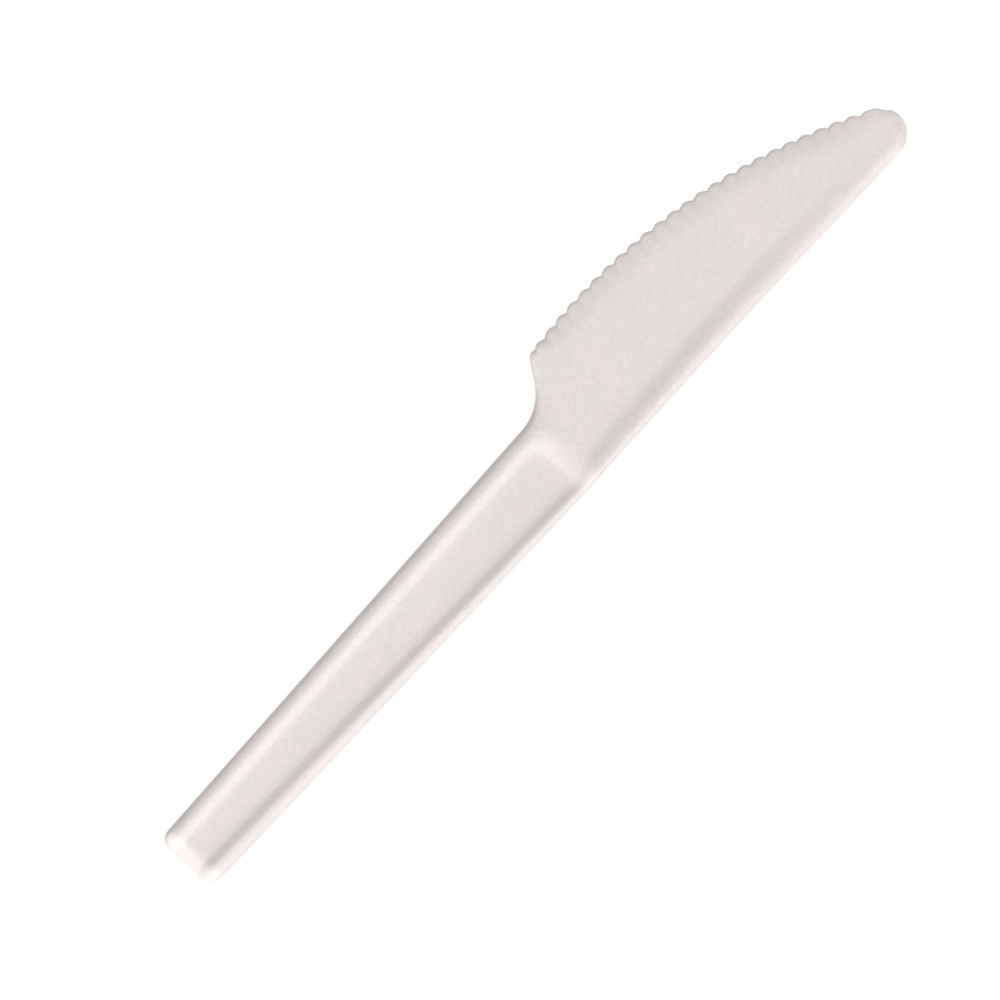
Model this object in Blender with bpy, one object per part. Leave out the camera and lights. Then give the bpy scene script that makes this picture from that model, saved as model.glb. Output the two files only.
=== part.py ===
"""Disposable plastic knife, moulded in one piece.

The knife lies on the rim of its hollow back. Its tip points to +X and its
serrated edge to +Y. Two surfaces are lofted over one outline, the show face
and the hollow back, and a rim joins them. Each surface is a grid: rows run
along the knife, columns run across it from the spine side to the edge side.
"""

import math

import bmesh
import bpy
import numpy as np

# Outline, seen from above
LENGTH = 0.165
HANDLE_LENGTH = 0.0873
HANDLE_END_WIDTH = 0.0113
HANDLE_NECK_WIDTH = 0.01423
END_CORNER_RADIUS = 0.0021
NOTCH_RADIUS = 0.0086
NOTCH_SLOPE = math.radians(54.0)
HEEL_RADIUS = 0.0028
BLADE_WIDTH = 0.0220
BLADE_WIDEST_FROM_NECK = 0.021
NOSE_RADIUS = 0.0042
NOSE_FLAT = 0.00035
NOSE_FLAT_FROM = math.radians(10.0)
SPINE_STEP = 0.00015
SPINE_STEP_LENGTH = 0.010
SPINE_DROP = 0.00045
SPINE_BEND_FROM_NECK = 0.0345

# Teeth of the serrated edge, which begin on the heel
TOOTH_PITCH = 0.00272
TOOTH_DEPTH = 0.0005
FIRST_TOOTH_LENGTH = 0.0019
HEEL_REACH = 0.0010
FLUTE_DEPTH = 0.00008
FLUTE_LENGTH = 0.0010

# Levels above the rim, and thicknesses
HANDLE_HEIGHT = 0.0036
PANEL_DEPTH = 0.0010
BLADE_FACE_HEIGHT = 0.00375
SPINE_RIB_HEIGHT = 0.00095
SPINE_RIB_TIP_HEIGHT = 0.0001
WALL = 0.0012
BLADE_THICKNESS = 0.0016
EDGE_THICKNESS = 0.0006
NOSE_THICKNESS = 0.0012

# Rounded sides: distance from the outline to the crest
END_SPINE_CREST = 0.0020
END_EDGE_CREST = 0.00165
NECK_SPINE_CREST = 0.00095
NECK_EDGE_CREST = 0.0020
BLADE_SPINE_CREST = 0.0015
BLADE_EDGE_CREST = 0.0043
NOSE_CREST = 0.0016
NOTCH_BEVEL_LENGTH = 0.0045
END_ROLL = 0.0033

# How much of a rounded side's width and height its steep wall takes
SIDE_WALL_WIDTH = 0.32
SIDE_WALL_HEIGHT = 0.76
END_WALL_LENGTH = 0.0005
END_WALL_HEIGHT = 0.3

# Powers that shape the edge's bevel, the handle's end and the foot of the bolster
EDGE_BEVEL = 2.8
END_BEVEL = 1.5
SOFT_FOOT = 1.25

# Inner sides of the ribs: distance from the crest to the flat
HANDLE_RIB_SLOPE = 0.0019
BLADE_RIB_SLOPE = 0.0031

# Where the handle turns into the blade
PANEL_END_TO_NECK = 0.0006
PANEL_CORNER_RADIUS = 0.0010
BOLSTER_LENGTH = 0.0044
SPINE_RISE_LENGTH = 0.0050
SPINE_RIB_FADE_FROM_NECK = 0.018

# Finish
PLASTIC_COLOUR = (0.790, 0.737, 0.711, 1.0)
PLASTIC_ROUGHNESS = 0.5

# Fineness of the grid
END_ROWS = 2
HANDLE_ROWS = 8
PANEL_CORNER_ROWS = 2
BOLSTER_ROWS = 6
NECK_ROWS = 6
HEEL_ROWS = 3
CORNER_ROWS = 4
TOOTH_ROWS = 4
NOSE_ROWS = 6
NOSE_LINE_POINTS = 20
ROUND_SHARES = np.array([0.0, 0.06, 0.17, 0.32, 0.62, 1.0])
SLOPE_SHARES = np.array([0.35, 0.7, 1.0])
FLAT_SHARE = 0.1
SMALLEST_STEP = 0.0001
STEEPEST_ROOT = 0.0003
LEAST_SLANT = 0.5
SHARP_ANGLE = math.radians(40.0)

# Derived places along the knife
NECK_X = HANDLE_LENGTH
WIDEST_X = NECK_X + BLADE_WIDEST_FROM_NECK
NOSE_X = LENGTH - NOSE_RADIUS
SPINE_BEND_X = NECK_X + SPINE_BEND_FROM_NECK
WALL_FOOT_X = NECK_X - PANEL_END_TO_NECK
BOLSTER_X = WALL_FOOT_X + BOLSTER_LENGTH
END_HALF = HANDLE_END_WIDTH / 2
NECK_HALF = HANDLE_NECK_WIDTH / 2
NOSE_START_X = LENGTH - 2 * NOSE_RADIUS
UNDER_FACE = BLADE_FACE_HEIGHT - BLADE_THICKNESS


def smooth(share):
    """Ease from 0 to 1, level at both ends."""
    share = np.clip(share, 0.0, 1.0)
    return share * share * (3.0 - 2.0 * share)


def rounded(share):
    """Rise from 0 to 1 as a quarter of an ellipse, upright at first and level at last."""
    share = np.clip(share, 0.0, 1.0)
    return np.sqrt(share * (2.0 - share))


def bevelled(share, power):
    """Rise from 0 to 1, straight at first and level at last."""
    return 1.0 - (1.0 - np.clip(share, 0.0, 1.0)) ** power


def walled(share):
    """Rise from 0 to 1 up a steep wall and then over a gentle crown."""
    return between(bevelled(share, 2.0), rounded(share / SIDE_WALL_WIDTH), SIDE_WALL_HEIGHT)


def between(start, end, share):
    """The value a share of the way from start to end."""
    return start + (end - start) * share


def on_circle(centre, radius, angle):
    """A point on a circle."""
    return centre + radius * np.array([math.cos(angle), math.sin(angle)])


def half_width(x):
    """Half the handle's width, which grows evenly to the neck."""
    return between(END_HALF, NECK_HALF, x / NECK_X)


def spine_y(x):
    """The spine side of the outline: the handle's edge, then the blade's spine."""
    step = SPINE_STEP * smooth((x - NECK_X) / SPINE_STEP_LENGTH)
    drop = SPINE_DROP * smooth((x - SPINE_BEND_X) / (NOSE_X - SPINE_BEND_X))
    return step - drop - half_width(np.minimum(x, NECK_X))


# Circles of the outline: nose, belly, notch and heel
NOSE_CENTRE = np.array([NOSE_X, spine_y(NOSE_X) + NOSE_RADIUS])
BELLY_TOP = np.array([WIDEST_X, spine_y(WIDEST_X) + BLADE_WIDTH])


def belly_circle():
    """The edge's long arc, level at the widest place and tangent to the nose."""
    run, rise = NOSE_CENTRE - BELLY_TOP
    radius = (run ** 2 + rise ** 2 - NOSE_RADIUS ** 2) / (-2.0 * (rise + NOSE_RADIUS))
    return BELLY_TOP - np.array([0.0, radius]), radius


BELLY_CENTRE, BELLY_RADIUS = belly_circle()
NOSE_ANGLE = math.atan2(*(NOSE_CENTRE - BELLY_CENTRE)[::-1])
NOTCH_CENTRE = np.array([NECK_X, NECK_HALF + NOTCH_RADIUS])
NOTCH_END = on_circle(NOTCH_CENTRE, NOTCH_RADIUS, NOTCH_SLOPE - math.pi / 2)


def heel_circle():
    """The blade's back corner, tangent to the notch's slope and to the belly arc."""
    up_slope = np.array([math.cos(NOTCH_SLOPE), math.sin(NOTCH_SLOPE)])
    inwards = np.array([math.sin(NOTCH_SLOPE), -math.cos(NOTCH_SLOPE)])
    start = NOTCH_END + inwards * HEEL_RADIUS - BELLY_CENTRE
    half_b = start @ up_slope
    reach = BELLY_RADIUS - HEEL_RADIUS
    run = -half_b + math.sqrt(half_b ** 2 - start @ start + reach ** 2)
    centre = BELLY_CENTRE + start + up_slope * run
    return centre, centre[0] - inwards[0] * HEEL_RADIUS


HEEL_CENTRE, HEEL_START_X = heel_circle()
HEEL_ANGLE = math.atan2(*(HEEL_CENTRE - BELLY_CENTRE)[::-1])
HEEL_X = on_circle(BELLY_CENTRE, BELLY_RADIUS, HEEL_ANGLE)[0]


def edge_point(x):
    """Point and outward normal of the edge side, from the end corner to the heel."""
    if x <= NECK_X:
        slope = math.atan((NECK_HALF - END_HALF) / NECK_X)
        return np.array([x, half_width(x)]), np.array([-math.sin(slope), math.cos(slope)])
    if x <= NOTCH_END[0]:
        across = (x - NOTCH_CENTRE[0]) / NOTCH_RADIUS
        normal = np.array([-across, math.sqrt(1.0 - across ** 2)])
        return NOTCH_CENTRE - normal * NOTCH_RADIUS, normal
    if x <= HEEL_START_X:
        normal = np.array([-math.sin(NOTCH_SLOPE), math.cos(NOTCH_SLOPE)])
        climb = (x - NOTCH_END[0]) * math.tan(NOTCH_SLOPE)
        return np.array([x, NOTCH_END[1] + climb]), normal
    across = (x - HEEL_CENTRE[0]) / HEEL_RADIUS
    return edge_along((HEEL_ANGLE - math.acos(across)) * HEEL_RADIUS)


def edge_along(distance):
    """Point and outward normal of the edge at a distance from the heel's end."""
    if distance < 0.0:
        centre, radius = HEEL_CENTRE, HEEL_RADIUS
    else:
        centre, radius = BELLY_CENTRE, BELLY_RADIUS
    angle = HEEL_ANGLE - distance / radius
    return on_circle(centre, radius, angle), np.array([math.cos(angle), math.sin(angle)])


def spine_point(x):
    """Point and outward normal of the spine side."""
    step = SMALLEST_STEP
    slope = math.atan((spine_y(x) - spine_y(x - step)) / step)
    return np.array([x, float(spine_y(x))]), np.array([math.sin(slope), -math.cos(slope)])


def corner_pair(angle):
    """The two points of the handle's end corners at one angle, 0 at the end face."""
    back = np.array([-math.cos(angle), math.sin(angle)])
    across = half_width(END_CORNER_RADIUS) - END_CORNER_RADIUS
    edge = np.array([END_CORNER_RADIUS, across]) + back * END_CORNER_RADIUS
    mirror = np.array([1.0, -1.0])
    return (edge, back), (edge * mirror, back * mirror)


def handle_and_neck_places():
    """Places along X of the rows from the end corners to the first tooth."""
    first_tooth_x = edge_along(-HEEL_REACH)[0][0]
    corner_x = WALL_FOOT_X - PANEL_CORNER_RADIUS
    runs = [
        (END_CORNER_RADIUS, END_ROLL, END_ROWS),
        (END_ROLL, corner_x, HANDLE_ROWS),
        (corner_x, WALL_FOOT_X, PANEL_CORNER_ROWS),
        (WALL_FOOT_X, BOLSTER_X, BOLSTER_ROWS),
        (BOLSTER_X, HEEL_START_X, NECK_ROWS),
        (HEEL_START_X, first_tooth_x, HEEL_ROWS),
    ]
    places = [END_CORNER_RADIUS]
    for start, end, rows in runs:
        places.extend(float(x) for x in np.linspace(start, end, rows + 1)[1:])
    return places


def tooth_marks():
    """Distances from the heel's end and how deep the teeth cut in there, row by row."""
    whole = BELLY_RADIUS * (HEEL_ANGLE - NOSE_ANGLE)
    start = -HEEL_REACH
    count = int((whole - start - FIRST_TOOTH_LENGTH) / TOOTH_PITCH)
    marks = []
    for length in [FIRST_TOOTH_LENGTH] + [TOOTH_PITCH] * count:
        depth = TOOTH_DEPTH * min(1.0, length / TOOTH_PITCH)
        for share in np.arange(1, TOOTH_ROWS + 1) / TOOTH_ROWS:
            cut = depth * (1.0 - abs(math.cos(math.pi * share)))
            marks.append((start + length * share, cut))
        start += length
    marks.append((between(start, whole, 0.5), 0.0))
    marks.append((whole, 0.0))
    return marks


def rows_of_outline():
    """Pairs of outline points, one on each side, that the rows run between."""
    rows = []
    for step in range(CORNER_ROWS):
        edge, spine = corner_pair(step / CORNER_ROWS * math.pi / 2)
        rows.append((spine, edge, 0.0))
    places = handle_and_neck_places()
    for x in places:
        rows.append((spine_point(x), edge_point(x), 0.0))
    marks = tooth_marks()
    whole = marks[-1][0] + HEEL_REACH
    for distance, cut in marks:
        along = (distance + HEEL_REACH) / whole
        spine = spine_point(between(places[-1], NOSE_X, along))
        rows.append((spine, edge_along(distance), cut))
    return rows


def nose_arc(share):
    """Point on the nose, from the spine at 0 to the belly arc at 1."""
    angle = between(-math.pi / 2, NOSE_ANGLE, share)
    flat = np.clip((angle - NOSE_FLAT_FROM) / (NOSE_ANGLE - NOSE_FLAT_FROM), 0.0, 1.0)
    radius = NOSE_RADIUS - NOSE_FLAT * math.sin(math.pi * flat) ** 2
    return on_circle(NOSE_CENTRE, radius, angle)


def side_line(rows, side):
    """One side as a line without its teeth and end corner, with its half of the nose."""
    start = np.array([0.0, END_HALF * (2 * side - 1)])
    nose = [nose_arc(share) for share in np.linspace(side, 0.5, NOSE_LINE_POINTS + 1)[1:]]
    return np.array([start] + [row[side][0] for row in rows[CORNER_ROWS:]] + nose)


def corner_gap(rows, points):
    """Distance from each point to the nearer of the end corners."""
    corners = [np.array([row[side][0] for row in rows[:CORNER_ROWS + 1]]) for side in (0, 1)]
    return np.minimum(distance_to(corners[0], points), distance_to(corners[1], points))


def distance_to(line, points):
    """Shortest distance from each point to a line of straight pieces."""
    best = np.full(points.shape[:-1], np.inf)
    for start, end in zip(line[:-1], line[1:]):
        along = end - start
        share = np.clip((points - start) @ along / (along @ along), 0.0, 1.0)
        gap = points - start - share[..., None] * along
        best = np.minimum(best, np.hypot(gap[..., 0], gap[..., 1]))
    return best


def face_level(x):
    """Top of the panel, the bolster and the blade's face."""
    along = np.clip((x - WALL_FOOT_X) / BOLSTER_LENGTH, 0.0, 1.0)
    rise = bevelled(along ** SOFT_FOOT, 2.0)
    return between(HANDLE_HEIGHT - PANEL_DEPTH, BLADE_FACE_HEIGHT, rise)


def hollow_rise(x):
    """How far the handle's ribs stand above the panel between them."""
    return np.maximum(0.0, HANDLE_HEIGHT - face_level(x))


def spine_rise(x):
    """How far the rib on the spine side stands above the face beside it."""
    fade_start = NECK_X + SPINE_RIB_FADE_FROM_NECK
    fade = smooth((x - fade_start) / (NOSE_X - fade_start))
    blade = face_level(x) + between(SPINE_RIB_HEIGHT, SPINE_RIB_TIP_HEIGHT, fade)
    crest = between(HANDLE_HEIGHT, blade, smooth((x - NECK_X) / SPINE_RISE_LENGTH))
    return crest - face_level(x)


def blade_share(x):
    """0 on the handle and 1 from the heel on."""
    return smooth((x - NECK_X) / (HEEL_X - NECK_X))


def bevel_share(x):
    """0 on the handle and 1 where the bevel along the notch has its full width."""
    return smooth((x - NECK_X) / NOTCH_BEVEL_LENGTH)


def tip_share(x):
    """0 on the handle, growing along the blade to 1 at the nose."""
    return smooth((x - NECK_X) / (NOSE_X - NECK_X))


def nose_share(x):
    """0 along the blade and 1 at the very tip of the nose."""
    return smooth((x - NOSE_START_X) / (LENGTH - NOSE_START_X))


def foot_level(x, under):
    """Height of either surface at the blade's outline."""
    edge = between(EDGE_THICKNESS, NOSE_THICKNESS, nose_share(x))
    return UNDER_FACE + (1 - under) * edge


def spine_crest(x):
    """Distance from the spine side's outline to its crest."""
    handle = between(END_SPINE_CREST, NECK_SPINE_CREST, np.clip(x / NECK_X, 0.0, 1.0))
    return between(handle, BLADE_SPINE_CREST, blade_share(x))


def edge_crest(x):
    """Distance from the edge side's outline to its crest."""
    handle = between(END_EDGE_CREST, NECK_EDGE_CREST, np.clip(x / NECK_X, 0.0, 1.0))
    blade = between(BLADE_EDGE_CREST, NOSE_CREST, nose_share(x))
    return between(handle, blade, bevel_share(x))


def rib_slope(x):
    """Distance from a rib's crest to the flat beside it."""
    return between(HANDLE_RIB_SLOPE, BLADE_RIB_SLOPE, smooth((x - NECK_X) / SPINE_RISE_LENGTH))


def insets(spine_x, edge_x, under):
    """How far inside the outline a surface starts, on the spine side and the edge side."""
    wall = under * WALL
    return wall * (1.0 - tip_share(spine_x)), wall * (1.0 - blade_share(edge_x))


def panel_corner(spine_gap, edge_gap):
    """How much sooner the bolster begins next to a rib, which rounds the panel's corners."""
    open_gap = np.minimum(spine_gap, edge_gap)
    share = np.clip(1.0 - open_gap / PANEL_CORNER_RADIUS, 0.0, 1.0)
    return PANEL_CORNER_RADIUS * (1.0 - np.sqrt(1.0 - share ** 2))


def surface(points, rows, cut, share, under):
    """Height of the show face, or of the hollow back, over each point."""
    x = points[..., 0]
    spine_gap = distance_to(side_line(rows, 0), points)
    edge_gap = distance_to(side_line(rows, 1), points)
    spine_inset, edge_inset = insets(x, x, under)
    spine_run = np.maximum(spine_crest(x) - spine_inset, STEEPEST_ROOT)
    edge_run = np.maximum(edge_crest(x) - edge_inset, STEEPEST_ROOT)
    behind_tooth = (edge_gap - edge_inset - cut) / (1.0 - cut / edge_run)
    inside_spine = spine_gap - spine_crest(x)
    inside_edge = edge_gap - edge_crest(x)
    slope = rib_slope(x)
    level_x = x + panel_corner(inside_spine - slope, inside_edge - slope)
    spine_rib = hollow_rise(level_x) if under else spine_rise(level_x)
    ribs = spine_rib * smooth(1.0 - inside_spine / slope)
    ribs = ribs + hollow_rise(level_x) * smooth(1.0 - inside_edge / slope)
    thickness = between(WALL, BLADE_THICKNESS, blade_share(x))
    body = face_level(level_x) - under * thickness + ribs
    foot = foot_level(x, under) * between(tip_share(x), blade_share(x), share)
    edge_side = between(walled(behind_tooth / edge_run),
                        bevelled(behind_tooth / edge_run, EDGE_BEVEL), bevel_share(x))
    end_gap = x - under * WALL
    end_side = between(bevelled(end_gap / (END_ROLL - under * WALL), END_BEVEL),
                       rounded(end_gap / END_WALL_LENGTH), END_WALL_HEIGHT)
    corner = rounded((corner_gap(rows, points) - under * WALL) / END_WALL_LENGTH)
    full = walled((spine_gap - spine_inset) / spine_run) * edge_side * end_side * corner
    flute = FLUTE_DEPTH * cut / TOOTH_DEPTH * np.clip(1.0 - edge_gap / FLUTE_LENGTH, 0.0, 1.0)
    return foot + (body - foot) * full - (1 - under) * flute


def columns(crest, slope, cut):
    """Distances from the outline: over the rounded edge, then down the rib's inner side."""
    over = cut + crest * ROUND_SHARES * (1.0 - cut / crest)
    return np.concatenate([over, crest + slope * SLOPE_SHARES])


def row_shares(spine, edge, inset_pair, cut):
    """End points of one row and the shares of its length at which its columns lie."""
    starts = [point - normal * inset for (point, normal), inset in zip((spine, edge), inset_pair)]
    length = np.linalg.norm(starts[1] - starts[0])
    direction = (starts[1] - starts[0]) / length
    sides = []
    for (point, normal), inset, crest, tooth in zip(
            (spine, edge), inset_pair, (spine_crest, edge_crest), (0.0, cut)):
        run = max(float(crest(point[0])) - inset, STEEPEST_ROOT)
        slant = max(abs(direction @ normal), LEAST_SLANT)
        sides.append(columns(run, float(rib_slope(point[0])), tooth) / slant)
    squeeze = min(1.0, (1.0 - FLAT_SHARE) * length / (sides[0][-1] + sides[1][-1]))
    left = sides[0] * squeeze / length
    right = 1.0 - (sides[1] - cut) * squeeze / length
    tooth_end = starts[1] - edge[1] * cut
    middle = (left[-1] + right[-1]) / 2
    return starts[0], tooth_end, np.concatenate([left, [middle], right[::-1]])


def grid(rows, under):
    """Plan points of one surface, how deep the teeth cut there, and shares across."""
    points = []
    cuts = []
    shares = []
    last = len(rows) - 1
    for number, (spine, edge, cut) in enumerate(rows):
        inset_pair = insets(float(spine[0][0]), float(edge[0][0]), under)
        start, end, across = row_shares(spine, edge, inset_pair, cut)
        bulge = max(0.0, 1.0 - (last - number) / NOSE_ROWS)
        row = [between(start, end, share) for share in across]
        chord = [between(nose_arc(0.0), nose_arc(1.0), share) for share in across]
        row = [p + bulge * (nose_arc(s) - c) for p, s, c in zip(row, across, chord)]
        points.append(row)
        cuts.append([cut] * len(row))
        shares.append(across)
    return np.array(points), np.array(cuts), np.array(shares)


def shell_vertices(rows, under):
    """Vertices of one surface as an array of rows, columns and coordinates."""
    points, cuts, shares = grid(rows, under)
    heights = surface(points, rows, cuts, shares, under)
    return np.concatenate([points, heights[..., None]], axis=2)


def add_surface(bm, vertices):
    """Add one grid of vertices to the mesh, with its faces, and return the vertices."""
    made = [[bm.verts.new(place) for place in row] for row in vertices]
    for row, following in zip(made[:-1], made[1:]):
        for column in range(len(row) - 1):
            bm.faces.new((row[column], following[column], following[column + 1], row[column + 1]))
    return made


def border(made):
    """The vertices around a grid, in order."""
    spine_side = [row[0] for row in made]
    edge_side = [row[-1] for row in made]
    return spine_side + made[-1][1:-1] + edge_side[::-1] + made[0][-2:0:-1]


def add_rim(bm, top, back):
    """Join the two surfaces around the outline."""
    upper = border(top)
    lower = border(back)
    for number in range(len(upper)):
        following = (number + 1) % len(upper)
        bm.faces.new((upper[number], lower[number], lower[following], upper[following]))


def centred(top, back):
    """Move both surfaces so that the middle of their box stands on the origin."""
    places = np.concatenate([top.reshape(-1, 3), back.reshape(-1, 3)])
    low = places.min(axis=0)
    high = places.max(axis=0)
    origin = np.array([(low[0] + high[0]) / 2, (low[1] + high[1]) / 2, low[2]])
    return top - origin, back - origin


def plastic():
    """Matte off-white plastic."""
    material = bpy.data.materials.new("white_plastic")
    material.use_nodes = True
    shader = material.node_tree.nodes["Principled BSDF"]
    shader.inputs["Base Color"].default_value = PLASTIC_COLOUR
    shader.inputs["Roughness"].default_value = PLASTIC_ROUGHNESS
    shader.inputs["Metallic"].default_value = 0.0
    return material


def make_knife():
    """The knife as one closed solid."""
    rows = rows_of_outline()
    top, back = centred(shell_vertices(rows, 0), shell_vertices(rows, 1))
    bm = bmesh.new()
    add_rim(bm, add_surface(bm, top), add_surface(bm, back))
    bmesh.ops.recalc_face_normals(bm, faces=bm.faces)
    mesh = bpy.data.meshes.new("knife")
    bm.to_mesh(mesh)
    bm.free()
    mesh.shade_smooth()
    mesh.set_sharp_from_angle(angle=SHARP_ANGLE)
    mesh.materials.append(plastic())
    knife = bpy.data.objects.new("knife", mesh)
    bpy.context.scene.collection.objects.link(knife)
    return knife


def clear_scene():
    """Start from an empty scene."""
    for item in list(bpy.data.objects):
        bpy.data.objects.remove(item, do_unlink=True)


clear_scene()
make_knife()
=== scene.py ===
"""A disposable plastic knife, dressed for a studio picture.

Two operators make the scene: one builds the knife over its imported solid, the
other sets up the stage with its lamps and camera.
"""

import math

import bpy
import numpy as np
from bpy.props import FloatProperty, FloatVectorProperty, PointerProperty
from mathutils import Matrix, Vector


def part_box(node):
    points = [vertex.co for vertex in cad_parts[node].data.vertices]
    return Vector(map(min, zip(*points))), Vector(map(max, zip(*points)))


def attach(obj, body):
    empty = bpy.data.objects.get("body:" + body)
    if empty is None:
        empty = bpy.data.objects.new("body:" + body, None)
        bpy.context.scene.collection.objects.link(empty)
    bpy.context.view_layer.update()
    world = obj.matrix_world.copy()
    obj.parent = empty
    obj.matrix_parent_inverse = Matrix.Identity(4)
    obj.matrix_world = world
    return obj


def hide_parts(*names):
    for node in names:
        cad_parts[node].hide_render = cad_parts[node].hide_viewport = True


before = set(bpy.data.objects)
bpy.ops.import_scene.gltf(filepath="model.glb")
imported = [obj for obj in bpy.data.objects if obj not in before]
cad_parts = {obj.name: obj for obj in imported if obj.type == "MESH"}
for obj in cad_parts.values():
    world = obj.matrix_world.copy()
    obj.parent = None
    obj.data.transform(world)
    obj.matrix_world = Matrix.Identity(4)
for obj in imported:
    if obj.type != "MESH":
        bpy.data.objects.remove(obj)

bl_info = {
    "name": "Disposable Knife",
    "version": (1, 0, 0),
    "blender": (4, 5, 0),
    "location": "3D View > Sidebar > Knife",
    "description": "Builds a moulded plastic knife with a serrated blade on a pale stage",
    "category": "Add Mesh",
}

NODE = "knife"
BODY = "root"
FRAME_LOW, FRAME_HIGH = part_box(NODE)
FRAME_LENGTH = FRAME_HIGH.x - FRAME_LOW.x

# How many rows and columns the knife's surfaces are divided into
CORNER_ROWS = 12
HANDLE_ROWS = 120
NECK_ROWS = 60
HEEL_ROWS = 10
TOOTH_ROWS = 14
PLAIN_ROWS = 6
NOSE_ROWS = 26
NOSE_LINE_POINTS = 60
ROUND_COLUMNS = 9
SLOPE_COLUMNS = 6
FLAT_COLUMNS = 3
# Least share of a row that is left to its flat middle
FLAT_SHARE = 0.12
# Where a row leaves the outline aslant, its columns spread by one over this at most
LEAST_SLANT = 0.5
# Step along X that gives the spine's slope, and the least from one row to the next
SHORTEST_STEP = 0.00004
# Shortest run from a surface's border to its crest
SHORTEST_RUN = 0.0003
# Edges that bend more than this stay sharp
SHARP_ANGLE = math.radians(45.0)
# Where the nose's flat begins, as an angle from the tip's direction
FLAT_FROM = math.radians(10.0)
# Powers that shape a crown, the handle's end, the spine's flank at the nose and the ramp's foot
CROWN = 2.0
END_BEVEL = 1.2
NOSE_FLANK = 1.6
SOFT_FOOT = 1.25
# How much of a side's width and height its steep wall takes, and of the end's height
SIDE_WALL_WIDTH = 0.32
SIDE_WALL_HEIGHT = 0.76
EDGE_WALL_WIDTH = 0.12
EDGE_WALL_HEIGHT = 0.35
END_WALL_HEIGHT = 0.3

# Levels of the noises between which the plastic's tone or roughness changes
CLOUD_LIMITS = (0.4, 0.5)
DRIFT_LIMITS = (0.5, 0.6)
PALE_LIMITS = (0.5, 0.65)
DULL_LIMITS = (0.35, 0.5)
GRAIN_LIMITS = (0.3, 0.7)
RISING = (0.0, 1.0)
FALLING = (1.0, 0.0)
# How much wider the warm drift is than the cool clouds
DRIFT_SPREAD = 1.6
# How far the roughness strays from its mean
ROUGHNESS_SPREAD = 0.05
# Heights of the bumps, in metres
CLOUD_DEPTH = 0.00003
GRAIN_DEPTH = 0.000004

WHITE = (1.0, 1.0, 1.0)
# How far the floor lies below the knife, in metres
FLOOR_GAP = 0.00005


def length(name, description, default):
    """A length property in metres."""
    return FloatProperty(
        name=name, description=description, default=default, min=0.0, precision=5,
        unit="LENGTH", subtype="DISTANCE")


def degrees(name, description, default):
    """An angle property whose default is given in degrees."""
    return FloatProperty(
        name=name, description=description, default=math.radians(default), subtype="ANGLE")


def factor(name, description, default):
    """A property from 0 to 1."""
    return FloatProperty(
        name=name, description=description, default=default, min=0.0, max=1.0,
        subtype="FACTOR")


def tone(name, description, default):
    """A colour property."""
    return FloatVectorProperty(
        name=name, description=description, default=default, min=0.0, max=1.0, size=3,
        subtype="COLOR")


def lamp_power(name, description, default):
    """A lamp's power in watts."""
    return FloatProperty(
        name=name, description=description, default=default, min=0.0, unit="POWER")


class KnifeOutline(bpy.types.PropertyGroup):
    """Sizes of the outline, seen from above."""

    whole: length("Length", "From the handle's end to the tip", FRAME_LENGTH)
    handle: length("Handle", "From the handle's end to the notch", 0.0873)
    end_width: length("End width", "Width of the handle at its end", 0.0113)
    neck_width: length("Neck width", "Width of the handle at the notch", 0.01423)
    corner: length("End corners", "Radius of the handle's end corners", 0.0021)
    notch: length("Notch", "Radius of the notch in front of the blade", 0.0086)
    notch_slope: degrees("Notch slope", "How steeply the notch climbs to the heel", 54.0)
    heel: length("Heel", "Radius of the blade's back corner", 0.0028)
    blade_width: length("Blade width", "From the spine to the edge at the widest place", 0.0220)
    widest: length("Widest place", "From the notch to the blade's widest place", 0.021)
    nose: length("Nose", "Radius of the blade's nose", 0.0042)
    nose_flat: length("Nose flat", "How much the nose is flattened on the edge side", 0.00035)
    spine_step: length("Spine step", "How far the spine runs in behind the notch", 0.00015)
    spine_step_run: length("Spine step length", "Length in which the spine runs in", 0.010)
    spine_drop: length("Spine drop", "How far the spine runs out towards the nose", 0.00045)
    spine_bend: length("Spine bend", "From the notch to where the spine runs out", 0.0345)


class KnifeTeeth(bpy.types.PropertyGroup):
    """Sizes of the serrated edge."""

    pitch: length("Pitch", "From tooth to tooth along the edge", 0.00272)
    depth: length("Depth", "How deep the valleys cut into the edge", 0.0005)
    first: length("First tooth", "Length of the short tooth at the heel", 0.0019)
    heel_reach: length("Heel reach", "How far the teeth begin before the heel's end", 0.0010)
    flute_depth: length("Flute depth", "Depth of the groove above each valley", 0.00003)
    flute_length: length("Flute length", "How far the grooves reach into the blade", 0.0010)


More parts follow.
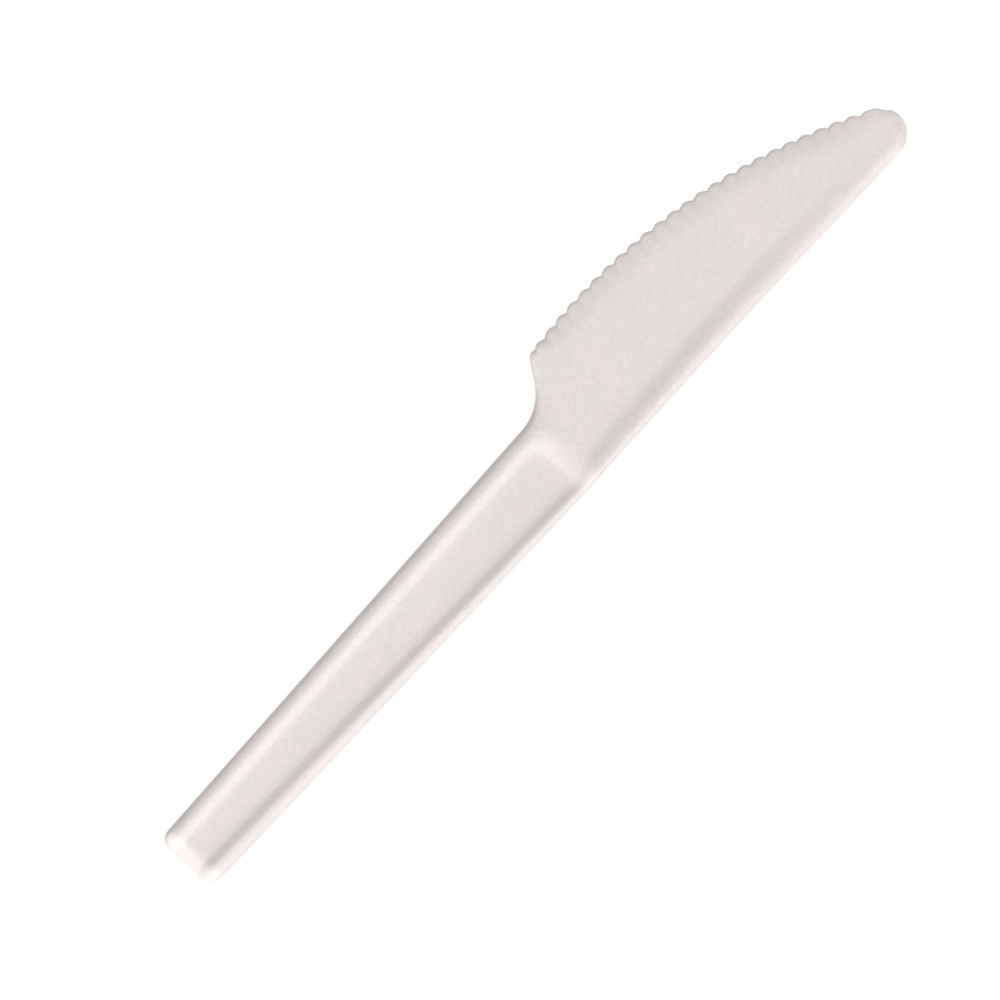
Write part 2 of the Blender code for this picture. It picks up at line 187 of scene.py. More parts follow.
class KnifeRelief(bpy.types.PropertyGroup):
    """Levels above the rim, thicknesses and the shape of the ribs."""

    handle_height: length("Handle height", "Top of the handle's ribs", 0.0036)
    panel_depth: length("Panel depth", "How deep the handle's panel lies", 0.0009)
    face_height: length("Blade face", "Height of the blade's face", 0.00375)
    rib_root: length("Spine rib", "Height of the blade's rib at its root", 0.00095)
    rib_tip: length("Spine rib at tip", "Height of the blade's rib at the nose", 0.0)
    wall: length("Wall", "Thickness of the moulding", 0.0012)
    blade: length("Blade", "Thickness of the blade's face", 0.0016)
    edge: length("Edge", "Thickness of the cutting edge", 0.0006)
    nose_edge: length("Nose edge", "Thickness of the edge at the nose", 0.0012)
    end_spine_crest: length(
        "Crest at end, spine", "From the spine side's outline to its crest, at the end", 0.0020)
    end_edge_crest: length(
        "Crest at end, edge", "From the edge side's outline to its crest, at the end", 0.00165)
    neck_spine_crest: length(
        "Crest at neck, spine", "From the spine side's outline to its crest, at the neck", 0.00095)
    neck_edge_crest: length(
        "Crest at neck, edge", "From the edge side's outline to its crest, at the neck", 0.0020)
    blade_spine_crest: length(
        "Crest of the spine", "From the spine's outline to its crest, on the blade", 0.0015)
    crest_widening: length(
        "Crest widening", "From the neck to where the spine's crest is widest", 0.036)
    flank_start: length(
        "Flank start", "From the neck to where the spine's flank turns plain", 0.045)
    blade_edge_crest: length("Edge bevel", "Width of the bevel to the edge", 0.0043)
    nose_crest: length("Nose bevel", "Width of the bevel at the nose", 0.0016)
    bevel_start: length("Bevel start", "From the notch to where the edge bevel widens", 0.0065)
    bevel_widening: length("Bevel widening", "Length in which the edge bevel widens", 0.013)
    notch_ramp: length("Notch ramp", "How far up the bolster's ramp the notch's rim lies", 0.0002)
    end_roll: length("End roll", "Width of the rounding at the handle's end", 0.0026)
    end_wall: length("End wall", "Width of the steep wall at the handle's end", 0.0005)
    handle_slope: length("Handle rib slope", "Width of the ribs' inner sides", 0.0019)
    blade_slope: length("Blade rib slope", "Width of the spine rib's inner side", 0.0036)
    panel_margin: length("Panel margin", "From the panel's end wall to the notch", 0.0006)
    panel_corner: length("Panel corner", "Radius of the panel's corners by the blade", 0.0010)
    bolster: length("Bolster", "Length of the ramp from the panel to the blade", 0.0044)
    spine_climb: length("Spine climb", "Length in which the spine rib climbs", 0.0050)
    rib_fade: length("Rib fade", "From the neck to where the spine rib starts to fade", 0.018)


class PlasticFinish(bpy.types.PropertyGroup):
    """Colours and surface of the plastic."""

    colour: tone("Colour", "Colour of the plastic", (0.790, 0.737, 0.711))
    cool: tone("Cooler tone", "Tone of the plastic's cooler clouds", (0.758, 0.736, 0.698))
    warm: tone("Warmer tone", "Tone of the plastic's warmer clouds", (0.820, 0.742, 0.724))
    pale: tone("Pale speck", "Tone of the palest specks", (0.814, 0.761, 0.734))
    dull: tone("Dull speck", "Tone of the dullest specks", (0.772, 0.719, 0.693))
    roughness: factor("Roughness", "Mean roughness of the matte surface", 0.5)
    cloud_size: length("Cloud size", "Size of the soft clouds in the colour", 0.004)
    speck_size: length("Speck size", "Size of the fine specks in the colour", 0.0007)
    grain_size: length("Grain size", "Size of the fine surface grain", 0.00022)


class StudioStage(bpy.types.PropertyGroup):
    """Sizes and levels of the stage."""

    picture_width: length("Picture width", "Width of the picture at the knife", 0.15919)
    aim_along: length("Aim along", "From the handle's end to the picture's middle", 0.07684)
    aim_across: length(
        "Aim across", "From the handle's middle line to the picture's middle", 0.00218)
    turn: degrees("Turn", "How far the knife is turned in the picture", 47.55)
    lens: FloatProperty(
        name="Lens", description="Focal length", default=200.0, min=1.0, unit="CAMERA")
    floor_size: length("Floor size", "Side of the square floor", 3.0)
    floor_tone: tone("Floor", "Colour of the floor", (0.4, 0.4, 0.4))
    floor_glow: factor("Floor glow", "Share of the floor that shows as plain white", 0.97)
    key_power: lamp_power("Key power", "Power of the lamp by the handle's end", 43.2)
    key_bearing: degrees("Key bearing", "Turn from the tip's direction to the key lamp", -150.0)
    side_power: lamp_power("Side power", "Power of the lamp by the blade's nose", 13.9)
    side_bearing: degrees("Side bearing", "Turn from the tip's direction to the side lamp", -30.0)
    lamp_size: length("Lamp size", "Side of each square lamp", 1.2)
    lamp_distance: length("Lamp distance", "From the knife to each lamp", 2.4)
    lamp_height: degrees("Lamp height", "How high the lamps stand, as an angle", 20.0)
    sky: FloatProperty(
        name="Sky", description="Strength of the even light from all round", default=0.657,
        min=0.0)


def smooth(share):
    """Ease from 0 to 1, level at both ends."""
    share = np.clip(share, 0.0, 1.0)
    return share * share * (3.0 - 2.0 * share)


def rounded(share):
    """Rise from 0 to 1 as a quarter of an ellipse, upright at first and level at last."""
    share = np.clip(share, 0.0, 1.0)
    return np.sqrt(share * (2.0 - share))


def bevelled(share, power):
    """Rise from 0 to 1, straight at first and level at last."""
    return 1.0 - (1.0 - np.clip(share, 0.0, 1.0)) ** power


def walled(share, width, height):
    """Rise from 0 to 1 up a steep wall of some width and height, then over a gentle crown."""
    return height * rounded(share / width) + (1.0 - height) * bevelled(share, CROWN)


def between(start, end, share):
    """The value a share of the way from start to end."""
    return start + (end - start) * share


def on_circle(centre, radius, angle):
    """A point on a circle."""
    return centre + radius * np.array([math.cos(angle), math.sin(angle)])


def distance_to(line, points):
    """Shortest distance from each point to a line of straight pieces."""
    best = np.full(points.shape[:-1], np.inf)
    for start, end in zip(line[:-1], line[1:]):
        along = end - start
        share = np.clip((points - start) @ along / (along @ along), 0.0, 1.0)
        gap = points - start - share[..., None] * along
        best = np.minimum(best, np.hypot(gap[..., 0], gap[..., 1]))
    return best


class KnifeForm:
    """The knife's form: X runs from the handle's end, Y from the handle's middle line.

    Side 0 is the spine's and side 1 the edge's. Under is 0 for the show face and 1 for
    the hollow back.
    """

    def __init__(self, outline, teeth, relief):
        self.outline = outline
        self.teeth = teeth
        self.relief = relief
        self.nose_x = outline.whole - outline.nose
        self.widest_x = outline.handle + outline.widest
        self.wall_foot_x = outline.handle - relief.panel_margin
        self.under_face = relief.face_height - relief.blade
        self.nose_start_x = outline.whole - 2 * outline.nose
        self.nose_centre = np.array([self.nose_x, self.spine_y(self.nose_x) + outline.nose])
        self.find_belly()
        self.find_heel()

    def find_belly(self):
        """The edge's long arc, level at the widest place and tangent to the nose."""
        nose = self.outline.nose
        top = np.array([self.widest_x, self.spine_y(self.widest_x) + self.outline.blade_width])
        run, rise = self.nose_centre - top
        self.belly_radius = (run ** 2 + rise ** 2 - nose ** 2) / (-2.0 * (rise + nose))
        self.belly_centre = top - np.array([0.0, self.belly_radius])
        self.nose_angle = math.atan2(*(self.nose_centre - self.belly_centre)[::-1])

    def find_heel(self):
        """The notch, its slope and the blade's back corner, tangent to each other."""
        slope = self.outline.notch_slope
        neck = self.outline.neck_width / 2
        self.notch_centre = np.array([self.outline.handle, neck + self.outline.notch])
        self.notch_end = on_circle(self.notch_centre, self.outline.notch, slope - math.pi / 2)
        up_slope = np.array([math.cos(slope), math.sin(slope)])
        inwards = np.array([math.sin(slope), -math.cos(slope)])
        start = self.notch_end + inwards * self.outline.heel - self.belly_centre
        along = start @ up_slope
        reach = self.belly_radius - self.outline.heel
        run = -along + math.sqrt(along ** 2 - start @ start + reach ** 2)
        self.heel_centre = self.belly_centre + start + up_slope * run
        self.heel_start_x = self.heel_centre[0] - inwards[0] * self.outline.heel
        self.heel_angle = math.atan2(*(self.heel_centre - self.belly_centre)[::-1])
        self.heel_x = on_circle(self.belly_centre, self.belly_radius, self.heel_angle)[0]

    def half_width(self, x):
        """Half the handle's width, which grows evenly to the neck."""
        end, neck = self.outline.end_width / 2, self.outline.neck_width / 2
        return between(end, neck, x / self.outline.handle)

    def spine_y(self, x):
        """The spine side: the handle's edge, then the blade's spine."""
        bend_x = self.outline.handle + self.outline.spine_bend
        past_neck = x - self.outline.handle
        step = self.outline.spine_step * smooth(past_neck / self.outline.spine_step_run)
        drop = self.outline.spine_drop * smooth((x - bend_x) / (self.nose_x - bend_x))
        return step - drop - self.half_width(np.minimum(x, self.outline.handle))

    def spine_point(self, x):
        """Point and outward normal of the spine side."""
        step = SHORTEST_STEP
        slope = math.atan((self.spine_y(x) - self.spine_y(x - step)) / step)
        normal = np.array([math.sin(slope), -math.cos(slope)])
        return np.array([x, float(self.spine_y(x))]), normal

    def edge_point(self, x):
        """Point and outward normal of the edge side, from the end corner to the heel."""
        if x <= self.outline.handle:
            rise = (self.outline.neck_width - self.outline.end_width) / 2
            slope = math.atan(rise / self.outline.handle)
            normal = np.array([-math.sin(slope), math.cos(slope)])
            return np.array([x, self.half_width(x)]), normal
        if x <= self.notch_end[0]:
            across = (x - self.notch_centre[0]) / self.outline.notch
            normal = np.array([-across, math.sqrt(1.0 - across ** 2)])
            return self.notch_centre - normal * self.outline.notch, normal
        if x <= self.heel_start_x:
            slope = self.outline.notch_slope
            climb = (x - self.notch_end[0]) * math.tan(slope)
            normal = np.array([-math.sin(slope), math.cos(slope)])
            return np.array([x, self.notch_end[1] + climb]), normal
        across = (x - self.heel_centre[0]) / self.outline.heel
        return self.edge_along((self.heel_angle - math.acos(across)) * self.outline.heel)

    def edge_along(self, distance):
        """Point and outward normal of the edge at a distance from the heel's end."""
        if distance < 0.0:
            centre, radius = self.heel_centre, self.outline.heel
        else:
            centre, radius = self.belly_centre, self.belly_radius
        angle = self.heel_angle - distance / radius
        return on_circle(centre, radius, angle), np.array([math.cos(angle), math.sin(angle)])

    def corner_pair(self, angle):
        """The two points of the handle's end corners at one angle, 0 at the end face."""
        radius = self.outline.corner
        back = np.array([-math.cos(angle), math.sin(angle)])
        edge = np.array([radius, self.half_width(radius) - radius]) + back * radius
        mirror = np.array([1.0, -1.0])
        return (edge * mirror, back * mirror), (edge, back)

    def places_to_heel(self):
        """Places along X of the rows from the end corners to the first tooth."""
        handle = np.linspace(self.outline.corner, self.wall_foot_x, HANDLE_ROWS + 1)[1:]
        neck = np.linspace(self.wall_foot_x, self.heel_start_x, NECK_ROWS + 1)[1:]
        teeth_x = self.edge_along(-self.teeth.heel_reach)[0][0]
        heel = np.linspace(self.heel_start_x, teeth_x, HEEL_ROWS + 1)[1:]
        kept = []
        for x in np.concatenate([handle, neck, heel]):
            if not kept or x - kept[-1] > SHORTEST_STEP:
                kept.append(float(x))
        return kept

    def tooth_marks(self):
        """Distances from the heel's end and how deep the teeth cut in there, row by row."""
        whole = self.belly_radius * (self.heel_angle - self.nose_angle)
        start = -self.teeth.heel_reach
        count = int((whole - start - self.teeth.first) / self.teeth.pitch)
        marks = []
        for tooth in [self.teeth.first] + [self.teeth.pitch] * count:
            for share in np.arange(1, TOOTH_ROWS + 1) / TOOTH_ROWS:
                depth = self.teeth.depth * min(1.0, tooth / self.teeth.pitch)
                cut = depth * (1.0 - abs(math.cos(math.pi * share)))
                marks.append((start + tooth * share, cut))
            start += tooth
        plain = np.linspace(start, whole, PLAIN_ROWS + 1)[1:]
        return marks + [(float(distance), 0.0) for distance in plain]

    def rows(self):
        """Pairs of outline points, spine side and edge side, and how deep the teeth cut."""
        rows = []
        for step in range(CORNER_ROWS):
            rows.append((*self.corner_pair(step / CORNER_ROWS * math.pi / 2), 0.0))
        places = [self.outline.corner] + self.places_to_heel()
        for x in places:
            rows.append((self.spine_point(x), self.edge_point(x), 0.0))
        marks = self.tooth_marks()
        whole = marks[-1][0]
        for distance, cut in marks:
            along = (distance + self.teeth.heel_reach) / (whole + self.teeth.heel_reach)
            spine = self.spine_point(between(places[-1], self.nose_x, along))
            rows.append((spine, self.edge_along(distance), cut))
        return rows

    def nose_arc(self, share):
        """Point on the nose, from the spine at 0 to the belly arc at 1."""
        angle = between(-math.pi / 2, self.nose_angle, share)
        flat = np.clip((angle - FLAT_FROM) / (self.nose_angle - FLAT_FROM), 0.0, 1.0)
        radius = self.outline.nose - self.outline.nose_flat * math.sin(math.pi * flat) ** 2
        return on_circle(self.nose_centre, radius, angle)

    def face_level(self, x):
        """Top of the panel, the bolster and the blade's face."""
        panel = self.relief.handle_height - self.relief.panel_depth
        along = np.clip((x - self.wall_foot_x) / self.relief.bolster, 0.0, 1.0)
        return between(panel, self.relief.face_height, bevelled(along ** SOFT_FOOT, CROWN))

    def hollow_rise(self, x):
        """How far the handle's ribs stand above the panel between them."""
        return np.maximum(0.0, self.relief.handle_height - self.face_level(x))

    def spine_rise(self, x):
        """How far the rib on the spine side stands above the face beside it."""
        fade_start = self.outline.handle + self.relief.rib_fade
        fade = smooth((x - fade_start) / (self.nose_x - fade_start))
        blade = self.face_level(x) + between(self.relief.rib_root, self.relief.rib_tip, fade)
        climb = smooth((x - self.outline.handle) / self.relief.spine_climb)
        return between(self.relief.handle_height, blade, climb) - self.face_level(x)

    def blade_share(self, x):
        """0 on the handle and 1 from the heel on."""
        return smooth((x - self.outline.handle) / (self.heel_x - self.outline.handle))

    def bevel_share(self, x):
        """0 on the handle and 1 where the edge bevel has its full width."""
        past_start = x - self.outline.handle - self.relief.bevel_start
        return smooth(past_start / self.relief.bevel_widening)

    def tip_share(self, x):
        """0 on the handle, growing along the blade to 1 at the nose."""
        return smooth((x - self.outline.handle) / (self.nose_x - self.outline.handle))

    def nose_share(self, x):
        """0 along the blade and 1 at the very tip of the nose."""
        return smooth((x - self.nose_start_x) / (self.outline.whole - self.nose_start_x))

    def flank_share(self, x):
        """0 on most of the spine, growing to 1 at the nose, where its flank is a plain slope."""
        start = self.outline.handle + self.relief.flank_start
        return smooth((x - start) / (self.nose_x - start))

    def foot_level(self, x, share, under):
        """Height of either surface at the outline, from the spine at 0 to the edge at 1."""
        edge = between(self.relief.edge, self.relief.nose_edge, self.nose_share(x) * share)
        lifted = between(self.tip_share(x), self.blade_share(x), share)
        return (self.under_face + (1 - under) * edge) * lifted

    def spine_crest(self, x):
        """Distance from the spine side's outline to its crest."""
        along = np.clip(x / self.outline.handle, 0.0, 1.0)
        handle = between(self.relief.end_spine_crest, self.relief.neck_spine_crest, along)
        widening = smooth((x - self.outline.handle) / self.relief.crest_widening)
        return between(handle, self.relief.blade_spine_crest, widening)

    def edge_crest(self, x):
        """Distance from the edge side's outline to its crest."""
        along = np.clip(x / self.outline.handle, 0.0, 1.0)
        handle = between(self.relief.end_edge_crest, self.relief.neck_edge_crest, along)
        blade = between(self.relief.blade_edge_crest, self.relief.nose_crest, self.nose_share(x))
        return between(handle, blade, self.bevel_share(x))

    def rib_slope(self, x):
        """Distance from a rib's crest to the flat beside it."""
        climb = smooth((x - self.outline.handle) / self.relief.spine_climb)
        return between(self.relief.handle_slope, self.relief.blade_slope, climb)

    def insets(self, x_spine, x_edge, under):
        """How far a surface's border lies inside the outline on either side."""
        wall = under * self.relief.wall
        return wall * (1.0 - self.tip_share(x_spine)), wall * (1.0 - self.blade_share(x_edge))

    def side_line(self, rows, side):
        """One side as a line without its teeth and end corner, with its half of the nose."""
        start = np.array([0.0, self.outline.end_width / 2 * (2 * side - 1)])
        shares = np.linspace(side, 0.5, NOSE_LINE_POINTS + 1)[1:]
        nose = [self.nose_arc(share) for share in shares]
        return np.array([start] + [row[side][0] for row in rows[CORNER_ROWS:]] + nose)

    def corner_gap(self, rows, points):
        """Distance from each point to the nearer of the end corners."""
        arcs = [np.array([row[side][0] for row in rows[:CORNER_ROWS + 1]]) for side in (0, 1)]
        return np.minimum(distance_to(arcs[0], points), distance_to(arcs[1], points))

    def ramp_x(self, rows, points):
        """X of each point, held back near the notch so that the ramp follows its curve."""
        neck_x = self.outline.handle
        notch = [row[1][0] for row in rows if neck_x < row[1][0][0] <= self.heel_start_x]
        rim_x = self.wall_foot_x + self.relief.notch_ramp
        return np.minimum(points[..., 0], rim_x + distance_to(np.array(notch), points))

    def body_level(self, points, rows, gaps, under):
        """Height of either surface inside its rounded sides: panel, ramp, face and ribs."""
        x = points[..., 0]
        slope = self.rib_slope(x)
        past_spine = gaps[0] - self.spine_crest(x)
        past_edge = gaps[1] - self.edge_crest(x)
        corner = self.relief.panel_corner
        near_rib = np.clip(1.0 - (np.minimum(past_spine, past_edge) - slope) / corner, 0.0, 1.0)
        level_x = self.ramp_x(rows, points) + corner * (1.0 - np.sqrt(1.0 - near_rib ** 2))
        spine_rib = self.hollow_rise(level_x) if under else self.spine_rise(level_x)
        edge_rib = self.hollow_rise(level_x)
        ribs = spine_rib * smooth(1.0 - past_spine / slope)
        ribs = ribs + edge_rib * smooth(1.0 - past_edge / slope)
        thickness = between(self.relief.wall, self.relief.blade, self.blade_share(x))
        return self.face_level(level_x) - under * thickness + ribs

    def side_rises(self, x, gaps, cut, under):
        """How far the surface has risen up its two long sides, each from 0 to 1."""
        spine_inset, edge_inset = self.insets(x, x, under)
        spine_run = np.maximum(self.spine_crest(x) - spine_inset, SHORTEST_RUN)
        edge_run = np.maximum(self.edge_crest(x) - edge_inset, SHORTEST_RUN)
        spine_up = (gaps[0] - spine_inset) / spine_run
        edge_up = (gaps[1] - edge_inset - cut) / (1.0 - cut / edge_run) / edge_run
        spine_side = between(
            walled(spine_up, SIDE_WALL_WIDTH, SIDE_WALL_HEIGHT),
            bevelled(spine_up, NOSE_FLANK), self.flank_share(x))
        edge_side = between(
            walled(edge_up, SIDE_WALL_WIDTH, SIDE_WALL_HEIGHT),
            walled(edge_up, EDGE_WALL_WIDTH, EDGE_WALL_HEIGHT), self.bevel_share(x))
        return spine_side, edge_side

    def end_rise(self, points, rows, under):
        """How far the surface has risen over the handle's end and its corners."""
        wall = under * self.relief.wall
        end_gap = points[..., 0] - wall
        end_side = between(
            bevelled(end_gap / (self.relief.end_roll - wall), END_BEVEL),
            rounded(end_gap / self.relief.end_wall), END_WALL_HEIGHT)
        corner = rounded((self.corner_gap(rows, points) - wall) / self.relief.end_wall)
        return end_side * corner

    def flutes(self, edge_gap, cut):
        """Depth of the grooves above the valleys between the teeth."""
        reach = np.clip(1.0 - edge_gap / self.teeth.flute_length, 0.0, 1.0)
        return self.teeth.flute_depth * cut / self.teeth.depth * reach

    def heights(self, points, rows, cut, share, under):
        """Height of the show face, or of the hollow back, over each point."""
        x = points[..., 0]
        gaps = [distance_to(self.side_line(rows, side), points) for side in (0, 1)]
        spine_side, edge_side = self.side_rises(x, gaps, cut, under)
        risen = spine_side * edge_side * self.end_rise(points, rows, under)
        body = self.body_level(points, rows, gaps, under)
        foot = self.foot_level(x, share, under)
        return foot + (body - foot) * risen - (1 - under) * self.flutes(gaps[1], cut)

    def columns(self, crest, slope, cut):
        """Distances from the outline: over the rounding, then down the rib's inner side."""
        turn = np.linspace(0.0, math.pi / 2, ROUND_COLUMNS)
        over = cut + crest * (1.0 - np.cos(turn)) * (1.0 - cut / crest)
        down = np.linspace(0.0, 1.0, SLOPE_COLUMNS + 1)[1:]
        return np.concatenate([over, crest + slope * down])

    def row_shares(self, spine, edge, insets, cut):
        """End points of one row and the shares of its length at which its columns lie."""
        starts = [point - normal * inset for (point, normal), inset in zip((spine, edge), insets)]
        span = np.linalg.norm(starts[1] - starts[0])
        direction = (starts[1] - starts[0]) / span
        sides = []
        for (point, normal), inset, crest, tooth in zip(
                (spine, edge), insets, (self.spine_crest, self.edge_crest), (0.0, cut)):
            run = max(float(crest(point[0])) - inset, SHORTEST_RUN)
            slant = max(abs(direction @ normal), LEAST_SLANT)
            sides.append(self.columns(run, float(self.rib_slope(point[0])), tooth) / slant)
        squeeze = min(1.0, (1.0 - FLAT_SHARE) * span / (sides[0][-1] + sides[1][-1]))
        left = sides[0] * squeeze / span
        right = 1.0 - (sides[1] - cut) * squeeze / span
        middle = np.linspace(left[-1], right[-1], FLAT_COLUMNS + 2)[1:-1]
        return starts[0], starts[1] - edge[1] * cut, np.concatenate([left, middle, right[::-1]])

    def surface(self, under):
        """Vertices of one surface, as an array of rows, columns and coordinates."""
        rows = self.rows()
        nose_ends = self.nose_arc(0.0), self.nose_arc(1.0)
        points = []
        cuts = []
        shares = []
        for number, (spine, edge, cut) in enumerate(rows):
            insets = [float(inset) for inset in self.insets(spine[0][0], edge[0][0], under)]
            start, end, across = self.row_shares(spine, edge, insets, cut)
            straight = [between(start, end, share) for share in across]
            bulge = [self.nose_arc(share) - between(*nose_ends, share) for share in across]
            bent = max(0.0, 1.0 - (len(rows) - 1 - number) / NOSE_ROWS)
            points.append(np.array(straight) + bent * np.array(bulge))
            cuts.append([cut] * len(across))
            shares.append(across)
        points = np.array(points)
        heights = self.heights(points, rows, np.array(cuts), np.array(shares), under)
        return np.concatenate([points, heights[..., None]], axis=2)


def knife_form(scene):
    """The knife's form, from the sizes that the scene keeps."""
    return KnifeForm(scene.knife_outline, scene.knife_teeth, scene.knife_relief)


def grid_faces(rows, columns, first):
    """Faces over a grid of vertices that starts at the vertex numbered first."""
    faces = []
    for row in range(rows - 1):
        for column in range(columns - 1):
            corner = first + row * columns + column
            faces.append((corner, corner + columns, corner + columns + 1, corner + 1))
    return faces


def border(rows, columns, first):
    """Numbers of the vertices around a grid, in order."""
    grid = first + np.arange(rows * columns).reshape(rows, columns)
    around = [*grid[:, 0], *grid[-1, 1:-1], *grid[::-1, -1], *grid[0, -2:0:-1]]
    return [int(number) for number in around]


def knife_mesh(form):
    """The knife as one closed mesh, standing in the frame's box."""
    top = form.surface(under=0)
    back = form.surface(under=1)
    rows, columns, _ = top.shape
    vertices = np.concatenate([top.reshape(-1, 3), back.reshape(-1, 3)])
    low = vertices.min(axis=0)
    high = vertices.max(axis=0)
    middle = (FRAME_LOW + FRAME_HIGH) / 2
    place = np.array([middle.x, middle.y, FRAME_LOW.z])
    vertices += place - np.array([(low[0] + high[0]) / 2, (low[1] + high[1]) / 2, low[2]])
    faces = grid_faces(rows, columns, 0)
    faces += [face[::-1] for face in grid_faces(rows, columns, rows * columns)]
    upper = border(rows, columns, 0)
    lower = border(rows, columns, rows * columns)
    for number in range(len(upper)):
        after = (number + 1) % len(upper)
        faces.append((upper[number], lower[number], lower[after], upper[after]))
    mesh = bpy.data.meshes.new("moulded_knife")
    mesh.from_pydata(vertices.tolist(), [], faces)
    mesh.validate()
    mesh.shade_smooth()
    mesh.set_sharp_from_angle(angle=SHARP_ANGLE)
    return mesh


class NodePainter:
    """Adds and joins the nodes of one material or world."""

    def __init__(self, owner):
        owner.use_nodes = True
        self.tree = owner.node_tree

    def feed(self, value, target):
        """Link a socket to an input, or give the input a plain number or colour."""
        if isinstance(value, bpy.types.NodeSocket):
            self.tree.links.new(value, target)
        elif target.type == "RGBA":
            target.default_value = (*value, 1.0)
        else:
            target.default_value = value

    def add(self, kind, inputs=None, **settings):
        """A node of one kind, with its settings made and its inputs fed."""
        node = self.tree.nodes.new(kind)
        for name, value in settings.items():
            setattr(node, name, value)
        for name, value in (inputs or {}).items():
            self.feed(value, node.inputs[name])
        return node

    def noise(self, place, size, detail=2.0, roughness=0.5):
        """Soft noise whose features are about one size across."""
        inputs = {"Vector": place, "Scale": 1.0 / size, "Detail": detail, "Roughness": roughness}
        return self.add("ShaderNodeTexNoise", inputs).outputs["Fac"]

    def ramp(self, value, limits, targets):
        """Stretch a value from one pair of limits to another."""
        names = ("From Min", "From Max", "To Min", "To Max")
        inputs = {"Value": value, **dict(zip(names, (*limits, *targets)))}
        return self.add("ShaderNodeMapRange", inputs).outputs["Result"]

    def mix(self, share, first, second):
        """Mix two colours, each a socket or a plain colour."""
        node = self.add("ShaderNodeMix", {"Factor": share}, data_type="RGBA")
        colours = [socket for socket in node.inputs if socket.type == "RGBA"]
        self.feed(first, colours[0])
        self.feed(second, colours[1])
        return next(socket for socket in node.outputs if socket.type == "RGBA")

    def blend(self, share, first, second):
        """Blend two shaders."""
        inputs = {0: share, 1: first, 2: second}
        return self.add("ShaderNodeMixShader", inputs).outputs["Shader"]

    def bump(self, height, depth, below=None):
        """A bump of some depth in metres, over another one if given."""
        inputs = {"Height": height, "Distance": depth, "Strength": 1.0}
        if below is not None:
            inputs["Normal"] = below
        return self.add("ShaderNodeBump", inputs).outputs["Normal"]

    def seen(self, share):
        """A share for the camera and for mirror-like rays, and 0 for every other ray."""
        rays = self.add("ShaderNodeLightPath")
        seen = rays.outputs["Is Camera Ray"]
        for name in ("Is Glossy Ray", "Is Transmission Ray"):
            inputs = {0: seen, 1: rays.outputs[name]}
            seen = self.add("ShaderNodeMath", inputs, operation="MAXIMUM").outputs[0]
        return self.add("ShaderNodeMath", {0: seen, 1: share}, operation="MULTIPLY").outputs[0]


def plastic_material(finish):
    """Matte off-white plastic with faint clouds, a fine grain and a slightly uneven face."""
    material = bpy.data.materials.new("off_white_plastic")
    paint = NodePainter(material)
    place = paint.add("ShaderNodeTexCoord").outputs["Object"]
    clouds = paint.noise(place, finish.cloud_size, detail=3.0, roughness=0.55)
    drift = paint.noise(place, finish.cloud_size * DRIFT_SPREAD)
    specks = paint.noise(place, finish.speck_size)
    grain = paint.noise(place, finish.grain_size)
    cool = paint.mix(paint.ramp(clouds, CLOUD_LIMITS, FALLING), finish.colour, finish.cool)
    warm = paint.mix(paint.ramp(drift, DRIFT_LIMITS, RISING), cool, finish.warm)
    pale = paint.mix(paint.ramp(specks, PALE_LIMITS, RISING), warm, finish.pale)
    dull = paint.mix(paint.ramp(specks, DULL_LIMITS, FALLING), pale, finish.dull)
    spread = (finish.roughness - ROUGHNESS_SPREAD, finish.roughness + ROUGHNESS_SPREAD)
    matte = paint.ramp(grain, GRAIN_LIMITS, spread)
    uneven = paint.bump(grain, GRAIN_DEPTH, below=paint.bump(clouds, CLOUD_DEPTH))
    plastic = paint.tree.nodes["Principled BSDF"].inputs
    paint.feed(dull, plastic["Base Color"])
    paint.feed(matte, plastic["Roughness"])
    paint.feed(uneven, plastic["Normal"])
    return material


def floor_material(stage):
    """Pale floor that shows nearly white and keeps a soft shadow."""
    material = bpy.data.materials.new("pale_floor")
    paint = NodePainter(material)
    paint.tree.nodes.clear()
    colour = paint.mix(paint.seen(1.0), stage.floor_tone, WHITE)
    plain = paint.add("ShaderNodeBsdfDiffuse", {"Color": colour}).outputs["BSDF"]
    glow = paint.add("ShaderNodeEmission", {"Color": WHITE, "Strength": 1.0}).outputs["Emission"]
    shown = paint.blend(paint.seen(stage.floor_glow), plain, glow)
    paint.add("ShaderNodeOutputMaterial", {"Surface": shown})
    return material


def link(item):
    """Put an object into the scene."""
    bpy.context.scene.collection.objects.link(item)
    return item


class KNIFE_OT_build(bpy.types.Operator):
    """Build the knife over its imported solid"""

    bl_idname = "knife.build"
    bl_label = "Build Knife"

    def execute(self, context):
        scene = context.scene
        knife = link(bpy.data.objects.new("moulded_knife", knife_mesh(knife_form(scene))))
        knife.data.materials.append(plastic_material(scene.knife_plastic))
        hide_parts(NODE)
        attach(knife, BODY)
        return {"FINISHED"}


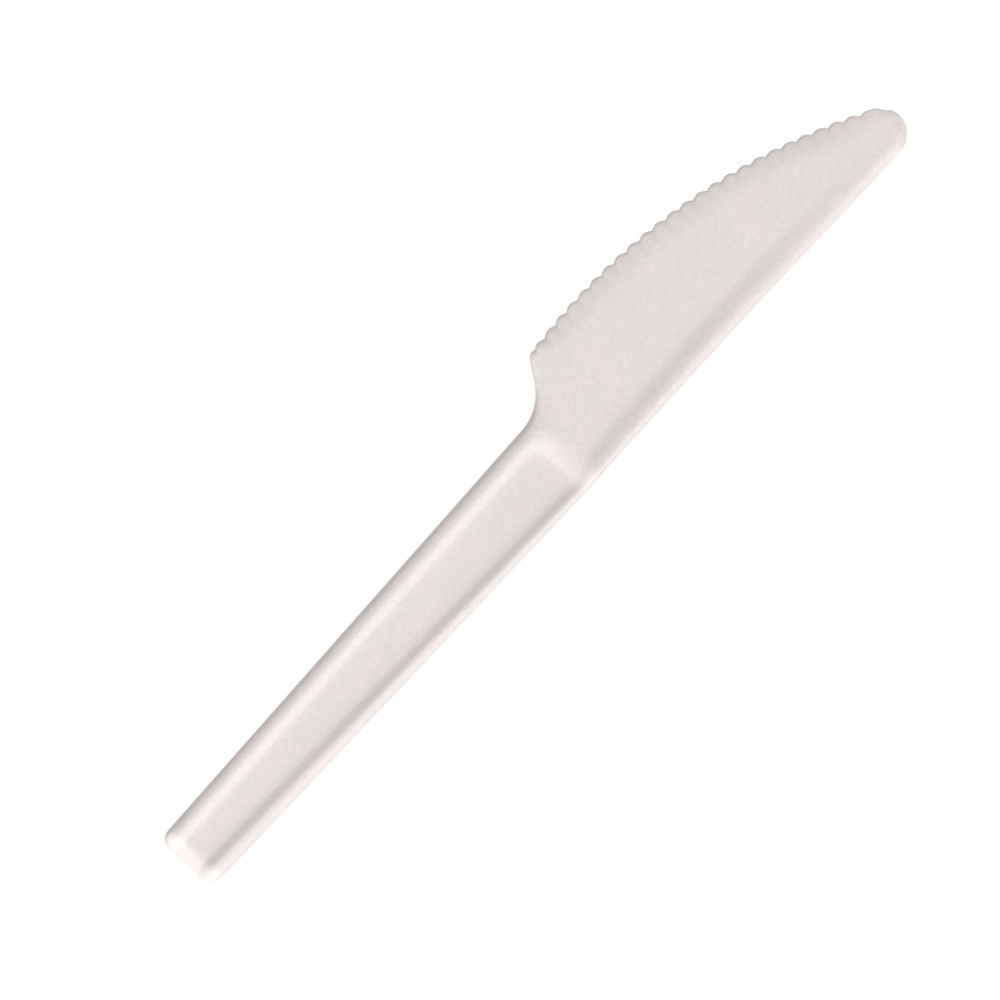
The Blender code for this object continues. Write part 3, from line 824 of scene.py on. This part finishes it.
class KNIFE_OT_stage(bpy.types.Operator):
    """Set up the floor, the lamps and the camera"""

    bl_idname = "knife.stage"
    bl_label = "Set Up Stage"

    def execute(self, context):
        stage = context.scene.knife_stage
        context.scene.view_settings.view_transform = "Standard"
        self.add_floor(stage)
        self.add_sky(stage)
        self.add_lamp(stage, "key_lamp", stage.key_power, stage.key_bearing)
        self.add_lamp(stage, "side_lamp", stage.side_power, stage.side_bearing)
        self.add_camera(stage)
        return {"FINISHED"}

    def add_floor(self, stage):
        """A wide square floor just under the knife."""
        half = stage.floor_size / 2
        square = [(-half, -half, 0.0), (half, -half, 0.0), (half, half, 0.0), (-half, half, 0.0)]
        mesh = bpy.data.meshes.new("floor")
        mesh.from_pydata(square, [], [(0, 1, 2, 3)])
        mesh.materials.append(floor_material(stage))
        floor = link(bpy.data.objects.new("floor", mesh))
        floor.location.z = FRAME_LOW.z - FLOOR_GAP

    def add_sky(self, stage):
        """Even light from all round, which shows as white."""
        world = bpy.data.worlds.new("studio")
        bpy.context.scene.world = world
        paint = NodePainter(world)
        light = paint.tree.nodes["Background"]
        paint.feed(WHITE, light.inputs["Color"])
        paint.feed(stage.sky, light.inputs["Strength"])
        white = paint.add("ShaderNodeBackground", {"Color": WHITE, "Strength": 1.0})
        shown = paint.blend(
            paint.seen(1.0), light.outputs["Background"], white.outputs["Background"])
        paint.feed(shown, paint.tree.nodes["World Output"].inputs["Surface"])

    def add_lamp(self, stage, name, energy, direction):
        """A large soft lamp, low on the spine side, that points at the knife."""
        light = bpy.data.lights.new(name, "AREA")
        light.shape = "SQUARE"
        light.size = stage.lamp_size
        light.energy = energy
        lamp = link(bpy.data.objects.new(name, light))
        level = math.cos(stage.lamp_height)
        height = math.sin(stage.lamp_height)
        lamp.location = stage.lamp_distance * Vector(
            (level * math.cos(direction), level * math.sin(direction), height))
        lamp.rotation_euler = (-lamp.location).to_track_quat("-Z", "Y").to_euler()

    def add_camera(self, stage):
        """A long lens looking straight down, turned so that the knife lies aslant."""
        scene = bpy.context.scene
        lens = bpy.data.cameras.new("camera")
        lens.lens = stage.lens
        camera = link(bpy.data.objects.new("camera", lens))
        form = knife_form(scene)
        camera.location = (
            FRAME_LOW.x + stage.aim_along,
            FRAME_LOW.y - form.spine_y(form.nose_x) + stage.aim_across,
            form.relief.face_height + stage.picture_width * lens.lens / lens.sensor_width)
        camera.rotation_euler = (0.0, 0.0, -stage.turn)
        scene.camera = camera


class KNIFE_PT_panel(bpy.types.Panel):
    """The knife's sizes, its finish and the stage"""

    bl_label = "Disposable Knife"
    bl_idname = "KNIFE_PT_panel"
    bl_space_type = "VIEW_3D"
    bl_region_type = "UI"
    bl_category = "Knife"

    def draw(self, context):
        layout = self.layout
        layout.operator(KNIFE_OT_build.bl_idname)
        layout.operator(KNIFE_OT_stage.bl_idname)
        for group in GROUPS:
            values = getattr(context.scene, group)
            box = layout.box()
            for name in values.bl_rna.properties.keys():
                if name not in {"rna_type", "name"}:
                    box.prop(values, name)


GROUPS = {
    "knife_outline": KnifeOutline,
    "knife_teeth": KnifeTeeth,
    "knife_relief": KnifeRelief,
    "knife_plastic": PlasticFinish,
    "knife_stage": StudioStage,
}
CLASSES = [*GROUPS.values(), KNIFE_OT_build, KNIFE_OT_stage, KNIFE_PT_panel]


def register():
    for item in CLASSES:
        bpy.utils.register_class(item)
    for name, group in GROUPS.items():
        setattr(bpy.types.Scene, name, PointerProperty(type=group))


def unregister():
    for name in GROUPS:
        delattr(bpy.types.Scene, name)
    for item in reversed(CLASSES):
        bpy.utils.unregister_class(item)


def main():
    register()
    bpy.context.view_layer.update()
    bpy.ops.knife.build()
    bpy.ops.knife.stage()


if __name__ == "__main__":
    main()
